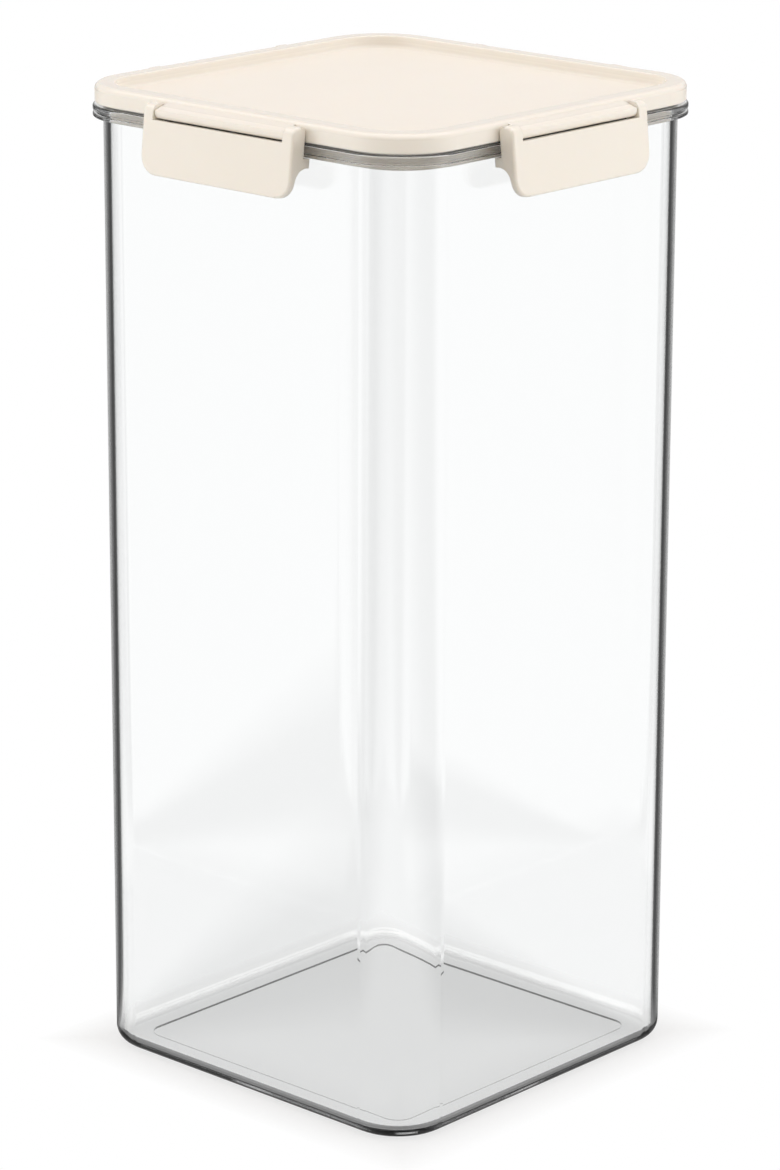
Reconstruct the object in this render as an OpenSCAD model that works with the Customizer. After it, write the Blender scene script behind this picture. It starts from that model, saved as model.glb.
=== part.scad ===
// Tall square storage container with a lift-off lid, a seal ring and four flip latches.
// Millimetres. +Z is up, and the origin is at the middle of the base, on the surface it stands on.
// The latches are named for the sides they hang on: front -Y, right +X, back +Y, left -X.

/* [Container] */
// Outside width of the container, flat to flat
body_w = 160; // [140:1:190]
// Height of the container, to the top of its rim
body_h = 362; // [160:1:420]
// Outside radius of the upright corners
corner_r = 22; // [20:0.5:30]
// Thickness of the walls
wall = 2.6; // [2.2:0.1:3.2]
// Thickness of the base at its foot ring
base_t = 3.4; // [2.8:0.1:5]
// Outside radius of the bottom edge
foot_r = 6; // [5:0.5:7]
// Inside radius between the walls and the base
floor_r = 3.4; // [2:0.1:5]
// Width of the flat ring that the container stands on
foot_ring_w = 9; // [6:0.5:11]
// Depth of the hollow inside the foot ring
foot_hollow = 0.8; // [0.4:0.1:1.2]

/* [Rim] */
// How far the rim stands out from the wall
rim_out = 3.8; // [3.2:0.1:5]
// Height of the rim
rim_h = 4.4; // [4.3:0.1:6]
// Height of the rim's lower bead
bead_h = 1.4; // [1.3:0.1:1.6]
// Height of the groove between the rim's two beads
rim_groove_h = 0.6; // [0.4:0.1:0.8]
// Depth of the groove between the rim's two beads
rim_groove_d = 0.9; // [0.4:0.1:1.2]
// Radius of the lower bead's edges
bead_r = 0.5; // [0.3:0.1:0.6]
// Radius of the edges of the tall bead above it
top_bead_r = 0.8; // [0.3:0.1:0.9]

/* [Lid] */
// How far the lid's side stands in from the rim's edge
lid_inset = 0.8; // [0.4:0.1:1.2]
// Height of the open seam between the rim and the lid's side
seam_h = 0.8; // [0.6:0.1:1.5]
// Height of the lid's side
skirt_h = 6.8; // [6:0.1:8]
// Thickness of the lid's side
skirt_t = 2.2; // [1.8:0.1:2.4]
// Thickness of the lid's panel
panel_t = 2.4; // [1.8:0.1:2.8]
// Radius of the lid's top edge
lid_edge_r = 2.1; // [1.4:0.1:2.6]
// Depth of the recess in the lid's top
recess_d = 4.6; // [3.6:0.1:4.8]
// Radius at the foot of the recess
recess_r = 1.4; // [0.8:0.1:1.8]
// Radius of the recess's upper edge
recess_lip_r = 0.6; // [0.3:0.1:0.8]
// How far the recess reaches out past the flat ring under the base, at each side
recess_past = 1.5; // [1:0.1:2]

/* [Plug and seal] */
// Thickness of the plug that drops into the container's mouth
plug_t = 2.2; // [1.8:0.1:2.6]
// Depth of the plug below the top of the rim
plug_d = 6; // [5:0.5:12]
// Gap between the plug and the container's wall
plug_clear = 0.6; // [0.4:0.1:0.8]
// Height of the seal ring, from the top of the rim to the roof of its groove
seal_h = 4.2; // [3.4:0.1:4.4]
// Gap on each side of the seal ring in its groove
seal_clear = 0.05; // [0.03:0.01:0.1]
// Radius of the seal ring's edges
seal_r = 0.6; // [0.3:0.1:0.9]

/* [Latches] */
// Length of a latch, along its side of the lid
latch_l = 73; // [56:1:80]
// Height of a latch, from its round heads to the edge of its flap
latch_h = 25.2; // [24:0.1:32]
// Angle by which a closed latch leans outwards, in degrees
flap_lean = 6; // [0:0.5:8]
// Thickness of the flap
flap_t = 2.4; // [2:0.1:2.8]
// Radius of the flap's lower corners
flap_corner_r = 7; // [2:0.5:8]
// Radius of the flap's lower edge
flap_edge_r = 0.8; // [0.5:0.1:0.9]
// Radius of the rounding around a latch's outer face
soft_r = 1.1; // [0.5:0.1:1.2]
// Width of the cheek at each end of a latch
cheek_w = 5; // [4.8:0.1:8]
// Radius of a cheek's round head, around the hinge axis
head_r = 3; // [2.9:0.1:3.4]
// Radius of the head's corner beside the lid
head_corner_r = 2; // [1.8:0.1:2.4]
// Gap between a latch and the rim, beside it and above its hook
latch_clear = 0.3; // [0.2:0.05:0.4]
// Gap between the tip of the hook and the container's wall
hook_clear = 0.6; // [0.4:0.1:2]
// Height of the hook under the rim
hook_h = 3.4; // [3:0.1:4]
// Radius between the hook and the flap
hook_root_r = 5.5; // [3:0.5:5.5]

/* [Hinges] */
// Depth of the hinge axis below the lid's top
axis_drop = 4.1; // [4:0.1:4.6]
// Radius of the hinge bar's round front
bar_r = 2.35; // [2.2:0.05:2.4]
// Height of the bar's upper edge above the hinge axis
bar_up = 1.1; // [0.8:0.1:1.6]
// Depth of the bar's flat underside below the hinge axis
bar_down = 2; // [1.8:0.1:2.1]
// How far below the lid's top the bar's shoulder meets the lid's rounded edge
shoulder_drop = 1.2; // [0.6:0.1:1.6]
// Gap between each end of the hinge bar and the cheek
bar_gap = 0.35; // [0.25:0.05:0.5]
// Height of the slot between the hinge bar and the flap
slot_h = 0.7; // [0.6:0.1:1.2]
// Radius of the pins on the ends of the hinge bar
pin_r = 1.5; // [1.2:0.1:1.6]
// How far a pin reaches into its cheek
pin_l = 3; // [2.5:0.1:3.4]
// Running clearance around a pin
pin_clear = 0.06; // [0.03:0.01:0.1]

/* [Hidden] */
$fn = 96;

clear_color = [0.88, 0.91, 0.92, 0.35];
cream = "#f6ecdc";
latch_cream = "#f4eadb";
silicone = "#e9e7e1";
past = 1;                                  // how far a cut runs past the face it opens

// container and rim
body_half = body_w / 2;
mouth_half = body_half - wall;
rim_half = body_half + rim_out;
rim_z0 = body_h - rim_h;

// lid
lid_half = rim_half - lid_inset;
skirt_z0 = body_h + seam_h;
lid_z1 = skirt_z0 + skirt_h;
panel_z1 = lid_z1 - recess_d;
panel_z0 = panel_z1 - panel_t;
recess_half = body_half - foot_r + recess_past;
plug_half = mouth_half - plug_clear;
groove_half = lid_half - skirt_t;
groove_z1 = body_h + seal_h;
skirt_edge_r = 0.4;

// latches: the axis stands out just enough for the leaning cheeks to clear the top of the rim
axis_z = lid_z1 - axis_drop;
axis_half = rim_half + latch_clear + head_r / cos(flap_lean) - (axis_z - body_h) * tan(flap_lean);

// a latch's section, measured from the hinge axis along the lean: x outwards from the lid, y upwards
hook_y1 = (rim_z0 - latch_clear - axis_z) * cos(flap_lean) + (axis_half - rim_half) * sin(flap_lean);
hook_y0 = hook_y1 - hook_h;
hook_mid = [
    (body_half + hook_clear - axis_half + hook_h / 2 + (hook_y0 + hook_h / 2) * sin(flap_lean)) / cos(flap_lean),
    hook_y0 + hook_h / 2
];
hook_tip_x = hook_mid[0] - hook_h / 2;
flap_x0 = head_r - flap_t;
flap_y0 = head_r - latch_h;
flap_y1 = -bar_down - slot_h;
cheek_y = latch_l / 2 - cheek_w;           // from the middle of the latch to the inside of a cheek
bar_l = 2 * (cheek_y - bar_gap);
shoulder_sink = 0.05;                      // how far inside the lid's rounded edge the shoulder starts
pin_end_room = 0.3;                        // from the end of a pin to the end of its bore

// ---- helpers ----

// A section drawn with x = 0 on the path and y = height, carried around a rounded square path.
// It may reach inwards as far as the path's corner radius.
module around(half, r) {
    for (side = [0 : 3]) rotate(90 * side) {
        translate([half, half - r, 0]) rotate([90, 0, 0]) linear_extrude(2 * (half - r)) children();
        translate([half - r, half - r, 0]) rotate_extrude(angle = 90) translate([r, 0]) children();
    }
}

// The square block that closes the middle of a path which a section has been carried around
module middle(half, r, z0, z1) {
    translate([r - half, r - half, z0]) cube([2 * (half - r), 2 * (half - r), z1 - z0]);
}

// A rectangle from (x0, y0) to (x1, y1) with its four corners rounded
module soft_rect(x0, y0, x1, y1, r) {
    translate([x0 + r, y0]) square([x1 - x0 - 2 * r, y1 - y0]);
    translate([x0, y0 + r]) square([x1 - x0, y1 - y0 - 2 * r]);
    for (x = [x0 + r, x1 - r], y = [y0 + r, y1 - r]) translate([x, y]) circle(r);
}

// A plain rectangle from (x0, y0) to (x1, y1)
module rect(x0, y0, x1, y1) {
    translate([x0, y0]) square([x1 - x0, y1 - y0]);
}

// What rounding takes off a square corner that points to +x and +y and has its tip at (0, 0)
module corner_waste(r) {
    difference() {
        rect(-r, -r, past, past);
        translate([-r, -r]) circle(r);
    }
}

// The corner at (0, 0) that a fillet fills, between a wall going up and a floor going to -x
module corner_fill(r) {
    difference() {
        translate([-r, 0]) square(r);
        translate([-r, r]) circle(r);
    }
}

// Puts its children on all four sides, from the +X side
module each_side() {
    for (side = [0 : 3]) rotate(90 * side) children();
}

// ---- container ----

module container_section() {
    ring_x0 = -foot_r - foot_ring_w;
    difference() {
        union() {
            // wall, base and the rounded bottom edge
            rect(-wall, foot_r, 0, body_h);
            rect(-corner_r, 0, -foot_r, base_t);
            intersection() {
                translate([-foot_r, foot_r]) circle(foot_r);
                rect(-foot_r, 0, 0, foot_r);
            }
            // rim: a core with two beads on it
            rect(-wall, rim_z0 + bead_r, rim_out - rim_groove_d, body_h - top_bead_r);
            soft_rect(-wall, rim_z0, rim_out, rim_z0 + bead_h, bead_r);
            soft_rect(-wall, rim_z0 + bead_h + rim_groove_h, rim_out, body_h, top_bead_r);
            rect(-wall, body_h - top_bead_r, 0, body_h);
        }
        // the hollow inside the rounded bottom edge
        rect(-foot_r - past, base_t + floor_r, -wall, foot_r + floor_r);
        intersection() {
            rect(-foot_r - past, base_t, -wall, base_t + floor_r);
            union() {
                translate([-wall - floor_r, base_t + floor_r]) circle(floor_r);
                rect(-foot_r - past, base_t, -wall - floor_r, base_t + floor_r);
            }
        }
        rect(-corner_r - past, -past, ring_x0, foot_hollow);
    }
    // fillet between the wall and the base
    translate([-wall, base_t]) corner_fill(floor_r);
}

module container() {
    color(clear_color) {
        around(body_half, corner_r) container_section();
        middle(body_half, corner_r, foot_hollow, base_t);
    }
}

// ---- lid ----

module lid_section(r) {
    edge = lid_half - recess_half;          // width of the raised border
    plug_x1 = plug_half - lid_half;
    plug_z0 = body_h - plug_d;
    difference() {
        union() {
            // panel, out to the plug's outer face, and the raised border with its rounded outer edge
            rect(-r, panel_z0, plug_x1, panel_z1);
            rect(-edge - recess_r, panel_z0 + panel_t / 2, plug_x1, lid_z1);
            rect(plug_x1, skirt_z0, -lid_edge_r, lid_z1);
            rect(-skirt_t, skirt_z0 + skirt_edge_r, 0, lid_z1 - lid_edge_r);
            rect(-skirt_t, skirt_z0, -skirt_edge_r, skirt_z0 + skirt_edge_r);
            intersection() {
                translate([-skirt_edge_r, skirt_z0 + skirt_edge_r]) circle(skirt_edge_r);
                rect(-skirt_edge_r, skirt_z0, 0, skirt_z0 + skirt_edge_r);
            }
            intersection() {
                translate([-lid_edge_r, lid_z1 - lid_edge_r]) circle(lid_edge_r);
                rect(-lid_edge_r, lid_z1 - lid_edge_r, 0, lid_z1);
            }
        }
        // recess, with the small radius of its upper edge
        rect(-r - past, panel_z1, -edge, lid_z1 + past);
        translate([-edge, lid_z1]) mirror([1, 0]) corner_waste(recess_lip_r);
        // groove for the seal ring
        rect(plug_x1, skirt_z0 - past, groove_half - lid_half, groove_z1);
    }
    translate([-edge, panel_z1]) corner_fill(recess_r);
    // plug, with a round lower edge
    rect(plug_x1 - plug_t, plug_z0 + plug_t / 2, plug_x1, panel_z0 + panel_t / 2);
    translate([plug_x1 - plug_t / 2, plug_z0 + plug_t / 2]) circle(plug_t / 2);
}

// Section across a hinge bar and the shoulder that carries it, from the hinge axis.
// The shoulder's top runs from the bar's upper edge up to the lid's rounded top edge and meets it
// some way down, so the lid's edge runs on above it.
module hinge_bar_section() {
    edge = [lid_half - lid_edge_r - axis_half, lid_z1 - lid_edge_r - axis_z];
    edge_r = lid_edge_r - shoulder_sink;
    bar_edge = [sqrt(bar_r * bar_r - bar_up * bar_up), bar_up];
    root_y = lid_edge_r - shoulder_drop;
    root = edge + [sqrt(edge_r * edge_r - root_y * root_y), root_y];
    polygon([root, bar_edge, [0, 0], [0, -bar_down], [root[0], -bar_down]]);
    intersection() {
        circle(bar_r);
        rect(0, -bar_down, bar_r + past, bar_up);
    }
}

module hinge_bar() {
    translate([axis_half, 0, axis_z]) rotate([90, 0, 0]) {
        linear_extrude(bar_l, center = true) hinge_bar_section();
        cylinder(r = pin_r, h = 2 * (cheek_y + pin_l), center = true);
    }
}

module lid() {
    r = corner_r + rim_out - lid_inset;
    color(cream) {
        around(lid_half, r) lid_section(r);
        middle(lid_half, r, panel_z0, panel_z1);
        each_side() hinge_bar();
    }
}

// ---- seal ring ----

module seal_ring() {
    color(silicone) around(body_half, corner_r) soft_rect(
        plug_half + seal_clear - body_half, body_h,
        groove_half - seal_clear - body_half, groove_z1, seal_r
    );
}

// ---- latches ----

// Section across a cheek: round head, hook and flap
module cheek_section() {
    circle(head_r);
    rect(-head_r, hook_y0, head_r, 0);
    rect(-head_r, 0, 0, head_r - head_corner_r);
    rect(head_corner_r - head_r, 0, 0, head_r);
    translate([head_corner_r - head_r, head_r - head_corner_r]) circle(head_corner_r);
    // hook with a round tip
    translate(hook_mid) circle(hook_h / 2);
    rect(hook_mid[0], hook_y0, head_r, hook_y1);
    // flap, and the hollow curve from the hook down to it
    rect(flap_x0, flap_y0 + flap_edge_r, head_r, hook_y0);
    soft_rect(flap_x0, flap_y0, head_r, flap_y0 + 3 * flap_edge_r, flap_edge_r);
    translate([flap_x0, hook_y0]) mirror([0, 1]) corner_fill(hook_root_r);
}

// Outline of a latch from the front, with its lower corners rounded
module front_outline() {
    half = latch_l / 2;
    rect(-half, flap_y0 + flap_corner_r, half, head_r);
    rect(flap_corner_r - half, flap_y0, half - flap_corner_r, head_r);
    for (s = [-1, 1]) translate([s * (half - flap_corner_r), flap_y0 + flap_corner_r]) circle(flap_corner_r);
}

// What comes off to round the outer face's edge: up from a lower corner and over the head
module soft_edge() {
    half = latch_l / 2;
    lower = flap_y0 + flap_corner_r;
    translate([head_r, half, lower]) linear_extrude(-lower) corner_waste(soft_r);
    translate([head_r, half - flap_corner_r, lower]) rotate([0, 90, 0])
        rotate_extrude(angle = 90) translate([flap_corner_r, 0]) corner_waste(soft_r);
    translate([0, half, 0]) rotate([-90, -90, 0])
        rotate_extrude(angle = 90) translate([head_r, 0]) corner_waste(soft_r);
    translate([head_corner_r - head_r, half, head_r]) rotate([90, 0, 90])
        linear_extrude(head_r - head_corner_r) corner_waste(soft_r);
}

module latch() {
    color(latch_cream) translate([axis_half, 0, axis_z]) rotate([0, -flap_lean, 0]) difference() {
        intersection() {
            rotate([90, 0, 0]) linear_extrude(latch_l, center = true) cheek_section();
            rotate([90, 0, 90]) linear_extrude(4 * head_r, center = true) front_outline();
        }
        // room for the hinge bar and its shoulder between the cheeks
        translate([hook_tip_x - past, -cheek_y, hook_y1])
            cube([flap_x0 - hook_tip_x + past, 2 * cheek_y, head_r + past - hook_y1]);
        translate([0, -cheek_y, flap_y1]) cube([head_r + past, 2 * cheek_y, head_r + past - flap_y1]);
        // blind bores for the pins
        rotate([90, 0, 0]) cylinder(
            r = pin_r + pin_clear, h = 2 * (cheek_y + pin_l + pin_end_room), center = true
        );
        for (s = [0, 1]) mirror([0, s, 0]) soft_edge();
    }
}

module latch_on(side) {
    rotate(90 * side) latch();
}

module latch_right() { latch_on(0); }
module latch_back() { latch_on(1); }
module latch_left() { latch_on(2); }
module latch_front() { latch_on(3); }

container();
lid();
seal_ring();
latch_front();
latch_right();
latch_back();
latch_left();
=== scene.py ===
"""Looks of the tall square storage container: clear body, cream lid and latches, silicone seal."""

import math

import bpy
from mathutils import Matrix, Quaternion, Vector


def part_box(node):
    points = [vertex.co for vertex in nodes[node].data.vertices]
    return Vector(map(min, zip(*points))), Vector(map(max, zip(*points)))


MM = 0.001

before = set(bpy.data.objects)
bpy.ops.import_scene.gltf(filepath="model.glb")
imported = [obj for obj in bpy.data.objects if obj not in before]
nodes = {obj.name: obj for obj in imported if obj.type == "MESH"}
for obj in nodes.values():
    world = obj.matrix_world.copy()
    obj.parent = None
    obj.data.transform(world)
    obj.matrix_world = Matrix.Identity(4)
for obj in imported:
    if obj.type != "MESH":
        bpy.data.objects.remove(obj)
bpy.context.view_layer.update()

container_half_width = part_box("container")[1].x
overall_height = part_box("lid")[1].z


# ---- shader maths ----

class Field:
    """A socket that carries a number, so that sums and products of sockets can be written out."""

    def __init__(self, tree, socket):
        self.tree = tree
        self.socket = socket

    def _math(self, operation, *values):
        made = self.tree.node("ShaderNodeMath", {"operation": operation}, dict(enumerate(values)))
        return made.field()

    def __add__(self, other):
        return self._math("ADD", self, other)

    def __sub__(self, other):
        return self._math("SUBTRACT", self, other)

    def __rsub__(self, other):
        return self._math("SUBTRACT", other, self)

    def __mul__(self, other):
        return self._math("MULTIPLY", self, other)

    def __gt__(self, other):
        return self._math("GREATER_THAN", self, other)

    def __lt__(self, other):
        return self._math("LESS_THAN", self, other)

    def __abs__(self):
        return self._math("ABSOLUTE", self)

    def at_least(self, other):
        return self._math("MAXIMUM", self, other)

    __radd__ = __add__
    __rmul__ = __mul__


class Made:
    """A node that was just made, with its outputs by name."""

    def __init__(self, tree, node):
        self.tree = tree
        self.raw = node

    def __getitem__(self, name):
        return self.raw.outputs[name]

    def field(self, name=0):
        return Field(self.tree, self.raw.outputs[name])


class Tree:
    """The node tree of one material or of the world."""

    def __init__(self, owner):
        owner.use_nodes = True
        self.owner = owner
        self.tree = owner.node_tree
        self.tree.nodes.clear()

    def node(self, kind, settings=None, inputs=None):
        """Makes a node of this type, with its settings first, then its sockets' values or links."""
        made = self.tree.nodes.new(kind)
        for name, value in (settings or {}).items():
            if name == "stops":
                ramp = made.color_ramp
                while len(ramp.elements) < len(value):
                    ramp.elements.new(0.5)
                for element, (place, colour) in zip(ramp.elements, value):
                    element.position = place
                    element.color = colour
            else:
                setattr(made, name, value)
        for name, value in (inputs or {}).items():
            socket = made.inputs[name]
            if isinstance(value, Field):
                self.tree.links.new(value.socket, socket)
            elif isinstance(value, bpy.types.NodeSocket):
                self.tree.links.new(value, socket)
            elif isinstance(value, Made):
                self.tree.links.new(value.raw.outputs[0], socket)
            else:
                socket.default_value = value
        return Made(self, made)

    def noise(self, place, scale, detail):
        inputs = {"Vector": place, "Scale": scale, "Detail": detail}
        return self.node("ShaderNodeTexNoise", {}, inputs).field()

    def along(self, place, axis):
        """How far a place or a direction goes along an axis."""
        made = self.node("ShaderNodeVectorMath", {"operation": "DOT_PRODUCT"}, {0: place, 1: axis})
        return made.field("Value")

    def beyond_square(self, place, half):
        """How far a place lies outside the upright square of this half width, below 0 inside."""
        away = self.node("ShaderNodeVectorMath", {"operation": "ABSOLUTE"}, {0: place})
        parts = self.node("ShaderNodeSeparateXYZ", {}, {0: away})
        return parts.field("X").at_least(parts.field("Y")) - half

    def mix_colour(self, share, low, high):
        made = self.node("ShaderNodeMix", {"data_type": "RGBA"}, {0: share, 6: low, 7: high})
        return made.raw.outputs[2]

    def remap(self, value, low, high, to_low, to_high):
        """Moves value from one range to another, and holds it there."""
        return self.node("ShaderNodeMapRange", {}, {
            "Value": value, "From Min": low, "From Max": high,
            "To Min": to_low, "To Max": to_high,
        }).field()


def grey(level):
    return (level, level, level, 1)


# ---- materials ----

CREAM = (0.925, 0.887, 0.815, 1)
CREAM_WARM = (0.90, 0.85, 0.755, 1)
SILICONE = (0.80, 0.79, 0.755, 1)
SILICONE_BLOOM = (0.72, 0.71, 0.68, 1)
CLEAR = (0.985, 0.99, 0.99, 1)

# Share of a lamp's light that one clear surface lets through.
CLEAR_PASSES = 0.88

POLYPROPYLENE_IOR = 1.49
SILICONE_IOR = 1.41
CLEAR_IOR = 1.53

EDGE_ROUNDING = 0.35 * MM
GRAIN_DEPTH = 0.1 * MM
# The lid is polished this far down from the top of its border.
POLISHED_DOWN = 2.2 * MM
BELOW_EVERYTHING = -1.0


def cream_plastic(name, warmth, matt_below=BELOW_EVERYTHING):
    """Moulded polypropylene: a soft sheen, faint flow clouds, and a little light let in.

    Warmth is 0 for the lid's cream, and more for a warmer one. Below the height matt_below the
    mould was sand-blasted, which leaves a fine matt grain.
    """
    tree = Tree(bpy.data.materials.new(name))
    place = tree.node("ShaderNodeTexCoord")["Object"]
    clouds = tree.noise(place, scale=28.0, detail=3.0)
    smudges = tree.noise(place, scale=75.0, detail=6.0)
    grain = tree.noise(place, scale=2600.0, detail=2.0)
    tint = tree.remap(clouds, 0.35, 0.65, warmth, warmth + 0.12)
    colour = tree.mix_colour(tint, CREAM, CREAM_WARM)
    height = tree.node("ShaderNodeSeparateXYZ", {}, {0: place}).field("Z")
    matt = height < matt_below
    roughness = tree.remap(smudges, 0.35, 0.7, 0.20, 0.27) + matt * 0.2
    edges = tree.node("ShaderNodeBevel", {"samples": 6}, {"Radius": EDGE_ROUNDING})
    bump = tree.node("ShaderNodeBump", {}, {
        "Strength": 0.06, "Distance": GRAIN_DEPTH, "Height": grain * (0.4 + matt * 0.6),
        "Normal": edges["Normal"],
    })
    shader = tree.node("ShaderNodeBsdfPrincipled", {}, {
        "Base Color": colour, "Roughness": roughness, "IOR": POLYPROPYLENE_IOR,
        "Normal": bump["Normal"], "Subsurface Weight": 0.12,
        "Subsurface Radius": (1.0, 0.7, 0.45), "Subsurface Scale": 1.2 * MM,
    })
    tree.node("ShaderNodeOutputMaterial", {}, {"Surface": shader["BSDF"]})
    return tree.owner


def silicone():
    """Soft off-white silicone with a faint, uneven bloom."""
    tree = Tree(bpy.data.materials.new("seal_silicone"))
    place = tree.node("ShaderNodeTexCoord")["Object"]
    bloom = tree.noise(place, scale=60.0, detail=4.0)
    colour = tree.mix_colour(bloom, SILICONE, SILICONE_BLOOM)
    roughness = tree.remap(bloom, 0.3, 0.7, 0.45, 0.62)
    shader = tree.node("ShaderNodeBsdfPrincipled", {}, {
        "Base Color": colour, "Roughness": roughness, "IOR": SILICONE_IOR,
        "Subsurface Weight": 0.3, "Subsurface Radius": (1.0, 0.9, 0.8),
        "Subsurface Scale": 1.5 * MM,
    })
    tree.node("ShaderNodeOutputMaterial", {}, {"Surface": shader["BSDF"]})
    return tree.owner


def clear_plastic():
    """Water-clear moulded plastic. Lamp light passes it as it passes a real clear wall."""
    tree = Tree(bpy.data.materials.new("clear_body_plastic"))
    place = tree.node("ShaderNodeTexCoord")["Object"]
    flow = tree.noise(place, scale=9.0, detail=2.0)
    haze = tree.remap(flow, 0.45, 0.7, 0.0, 0.018)
    body = tree.node("ShaderNodeBsdfPrincipled", {}, {
        "Base Color": CLEAR, "Roughness": haze, "IOR": CLEAR_IOR, "Transmission Weight": 1.0,
    })
    through = tree.node("ShaderNodeBsdfTransparent", {}, {"Color": grey(CLEAR_PASSES)})
    lamp_ray = tree.node("ShaderNodeLightPath")["Is Shadow Ray"]
    shown = tree.node("ShaderNodeMixShader", {}, {
        0: lamp_ray, 1: body["BSDF"], 2: through["BSDF"],
    })
    tree.node("ShaderNodeOutputMaterial", {}, {"Surface": shown["Shader"]})
    return tree.owner


def dress(node_name, material):
    for slot in nodes[node_name].material_slots:
        slot.material = material


dress("container", clear_plastic())
dress("lid", cream_plastic("cream_lid_plastic", 0.0, matt_below=overall_height - POLISHED_DOWN))
dress("seal_ring", silicone())
latch_cream = cream_plastic("cream_latch_plastic", 0.18)
for side in ("front", "right", "back", "left"):
    dress("latch_" + side, latch_cream)


# ---- stage ----

# The studio that shiny and clear surfaces mirror has an axis through the part. Its brightness goes
# by the direction from the part: 1 is along the axis, behind the part or in front of it, and 0 is
# straight out to either side.
STUDIO_TURN = math.radians(42.08)
STUDIO_BEHIND = (-math.sin(STUDIO_TURN), math.cos(STUDIO_TURN), 0)
STUDIO_ACROSS = (math.cos(STUDIO_TURN), math.sin(STUDIO_TURN), 0)
STUDIO_STOPS = [
    (0.00, grey(1.0)), (0.38, grey(1.0)), (0.56, grey(0.10)), (0.76, grey(0.05)),
    (0.88, grey(0.16)), (0.97, grey(0.50)), (1.00, grey(0.80)),
]
# The same studio by height: 0 is level with the part and 1 is straight above it.
STUDIO_HEIGHT_STOPS = [(0.00, grey(0.8)), (0.35, grey(0.75)), (0.60, grey(0.9)), (1.00, grey(0.9))]
# What the mirrored ceiling adds to the studio's strength of 1.
CEILING_GAIN = 3.0

FLOOR_RADIUS = 60
FLOOR_DROP = 0.3 * MM
FLOOR_PAINT = (0.86, 0.89, 0.91, 1)
# Painted shadow: a dark grey that stands in for the shade on the floor under the foot, as the
# container's bottom edge mirrors it.
PAINTED_SHADOW_UNDER_FOOT = grey(0.22)
# Half the width of the floor that is mirrored as if it lay on the studio's axis.
MIRRORED_FLOOR_HALF = 0.1

FILL_TINT = (1.0, 0.89, 0.76, 1)
SIDE_TINT = (0.97, 1.0, 1.06)
TOP_TINT = (0.97, 1.0, 1.18)
WHITE = grey(1.0)


def seen_as(tree):
    """Two fields: 1 where the stage is seen straight, and 1 where it is mirrored.

    Straight is directly or through clear plastic. Light on its way to a dull surface is neither.
    """
    path = tree.node("ShaderNodeLightPath")
    undimmed = path.field("Diffuse Depth") < 0.5
    mirrored = (path.field("Glossy Depth") > 0.5) * undimmed
    clear = path.field("Is Camera Ray") + path.field("Is Transmission Ray") * (1.0 - mirrored)
    return clear * undimmed, mirrored


def mirrored_studio(tree, place, half_width):
    """Brightness of the mirrored studio at this place or in this direction.

    Whatever lies within half_width of the axis counts as lying on it.
    """
    depth = tree.along(place, STUDIO_BEHIND)
    beside = (abs(tree.along(place, STUDIO_ACROSS)) - half_width).at_least(0.0)
    flat = tree.node("ShaderNodeCombineXYZ", {}, {0: depth, 1: beside})
    facing = tree.node("ShaderNodeVectorMath", {"operation": "NORMALIZE"}, {0: flat})
    share = abs(tree.node("ShaderNodeSeparateXYZ", {}, {0: facing}).field("X"))
    return tree.node("ShaderNodeValToRGB", {"stops": STUDIO_STOPS}, {0: share})["Color"]


def studio_floor():
    """A pale floor that fades into the white background and keeps the part's soft shadow, with
    painted shade and a painted shadow at the foot.
    """
    bpy.ops.mesh.primitive_circle_add(
        vertices=96, radius=FLOOR_RADIUS, fill_type="NGON", location=(0, 0, -FLOOR_DROP))
    floor = bpy.context.object
    floor.name = "floor"
    tree = Tree(bpy.data.materials.new("floor_white"))
    floor.data.materials.append(tree.owner)
    place = tree.node("ShaderNodeTexCoord")["Object"]
    from_foot = tree.beyond_square(place, container_half_width)
    straight, mirrored = seen_as(tree)
    lit = tree.node("ShaderNodeBsdfDiffuse", {}, {"Color": FLOOR_PAINT})
    white = tree.node("ShaderNodeEmission", {}, {"Color": WHITE, "Strength": 1.0})
    open_floor = mirrored_studio(tree, place, MIRRORED_FLOOR_HALF)
    # In mirror images the floor is a painted shadow under the foot, fading to the mirrored studio
    # within 30 mm beyond it.
    outside_painted_shadow = tree.remap(from_foot, -0.01, 0.03, 0.0, 1.0)
    mirrored_floor_with_painted_shadow = tree.node("ShaderNodeEmission", {}, {
        "Color": tree.mix_colour(outside_painted_shadow, PAINTED_SHADOW_UNDER_FOOT, open_floor), "Strength": 1.0,
    })
    # Painted shade: within about 12 mm of the foot the lit floor shows through the white. That
    # floor is darker than white and carries the part's real shadow, so the floor greys there.
    # Further out it is plain white.
    white_share_with_painted_shade = tree.remap(from_foot, -0.006, 0.012, 0.62, 1.0)
    seen = tree.node("ShaderNodeMixShader", {}, {
        0: straight * white_share_with_painted_shade, 1: lit["BSDF"], 2: white["Emission"],
    })
    shown = tree.node("ShaderNodeMixShader", {}, {
        0: mirrored, 1: seen["Shader"], 2: mirrored_floor_with_painted_shadow["Emission"],
    })
    tree.node("ShaderNodeOutputMaterial", {}, {"Surface": shown["Shader"]})


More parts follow.
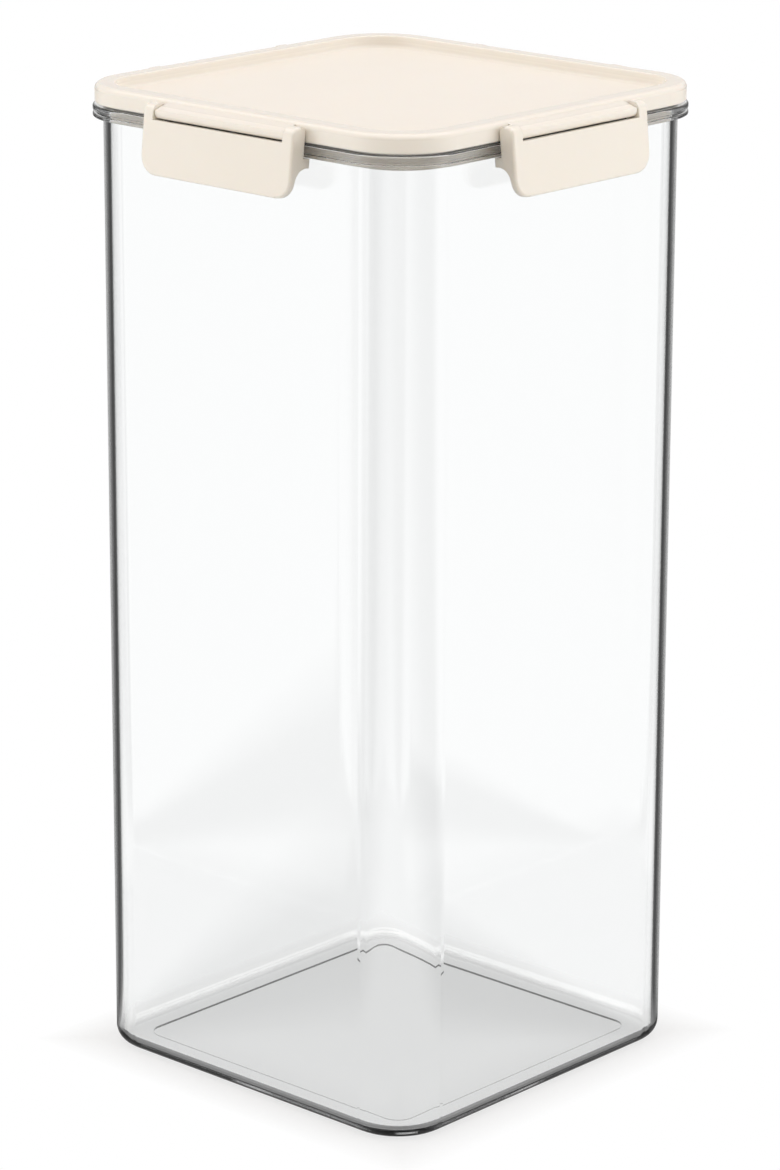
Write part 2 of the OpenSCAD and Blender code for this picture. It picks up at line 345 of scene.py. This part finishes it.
def studio_world():
    """White where it is seen straight, the mirrored studio where it shines, and a warm fill."""
    world = bpy.data.worlds.new("studio")
    bpy.context.scene.world = world
    tree = Tree(world)
    direction = tree.node("ShaderNodeTexCoord")["Generated"]
    up = tree.node("ShaderNodeSeparateXYZ", {}, {0: direction}).field("Z")
    behind = tree.along(direction, STUDIO_BEHIND)
    straight, mirrored = seen_as(tree)
    fill = tree.node("ShaderNodeBackground", {}, {
        "Color": FILL_TINT, "Strength": tree.remap(up, -0.2, 0.8, 0.42, 0.68),
    })
    low = mirrored_studio(tree, direction, 0.0)
    high = tree.node("ShaderNodeValToRGB", {"stops": STUDIO_HEIGHT_STOPS}, {0: up})["Color"]
    # The bright ceiling stops short of the side behind the part, so the lid's panel stays calm.
    overhead = tree.remap(up, 0.56, 0.66, 0.0, CEILING_GAIN)
    ceiling = overhead * tree.remap(behind, 0.35, 0.55, 1.0, 0.0)
    shine = tree.node("ShaderNodeBackground", {}, {
        "Color": tree.mix_colour(tree.remap(up, 0.05, 0.2, 0.0, 1.0), low, high),
        "Strength": 1.0 + ceiling,
    })
    white = tree.node("ShaderNodeBackground", {}, {"Color": WHITE, "Strength": 1.0})
    seen = tree.node("ShaderNodeMixShader", {}, {
        0: straight, 1: fill["Background"], 2: white["Background"],
    })
    shown = tree.node("ShaderNodeMixShader", {}, {
        0: mirrored, 1: seen["Shader"], 2: shine["Background"],
    })
    tree.node("ShaderNodeOutputWorld", {}, {"Surface": shown["Shader"]})


def softbox(name, place, size, power, tint=SIDE_TINT):
    """A square area lamp at place, turned towards the middle of the part. Metres and watts."""
    data = bpy.data.lights.new(name, "AREA")
    data.color = tint
    data.shape = "SQUARE"
    data.size = size
    data.energy = power
    lamp = bpy.data.objects.new(name, data)
    bpy.context.scene.collection.objects.link(lamp)
    lamp.location = place
    aim = Vector((0, 0, overall_height / 2)) - Vector(place)
    lamp.rotation_euler = aim.to_track_quat("-Z", "Y").to_euler()
    # Kept out of mirror images and of the view through clear plastic.
    lamp.visible_glossy = False
    lamp.visible_transmission = False


studio_floor()
studio_world()
softbox("top_softbox", (0.1, 0.1, 1.8), size=1.5, power=5.75, tint=TOP_TINT)
softbox("left_softbox", (-0.94, -1.30, 0.75), size=1.0, power=9.2)
softbox("right_softbox", (1.38, 0.80, 0.75), size=1.0, power=9.1)


# ---- camera ----

CAMERA_AZIMUTH = math.radians(42.35)
CAMERA_ELEVATION = math.radians(16.40)
CAMERA_ROLL = math.radians(0.213)
CAMERA_DISTANCE = 1.6377
CAMERA_AIM = Vector((0.00015, 0.00013, 0.1796))
IMAGE_HEIGHT = 1170
FOCAL_PIXELS = 4387
SENSOR = 36.0

back = Vector((
    math.sin(CAMERA_AZIMUTH) * math.cos(CAMERA_ELEVATION),
    -math.cos(CAMERA_AZIMUTH) * math.cos(CAMERA_ELEVATION),
    math.sin(CAMERA_ELEVATION),
))
camera_data = bpy.data.cameras.new("camera")
camera_data.sensor_width = SENSOR
camera_data.lens = FOCAL_PIXELS / IMAGE_HEIGHT * SENSOR
camera_data.clip_start = 0.05
camera_data.clip_end = 200
camera = bpy.data.objects.new("camera", camera_data)
camera.location = CAMERA_AIM + back * CAMERA_DISTANCE
upright = back.to_track_quat("Z", "Y")
camera.rotation_euler = (upright @ Quaternion((0, 0, 1), CAMERA_ROLL)).to_euler()
bpy.context.scene.collection.objects.link(camera)
bpy.context.scene.camera = camera


# ---- render and size ----

# Enough for a ray through the walls, the rim's beads and the base.
LIGHT_BOUNCES = 24

bpy.context.scene.view_settings.view_transform = "Standard"
bpy.context.scene.cycles.transmission_bounces = LIGHT_BOUNCES
bpy.context.scene.cycles.max_bounces = LIGHT_BOUNCES
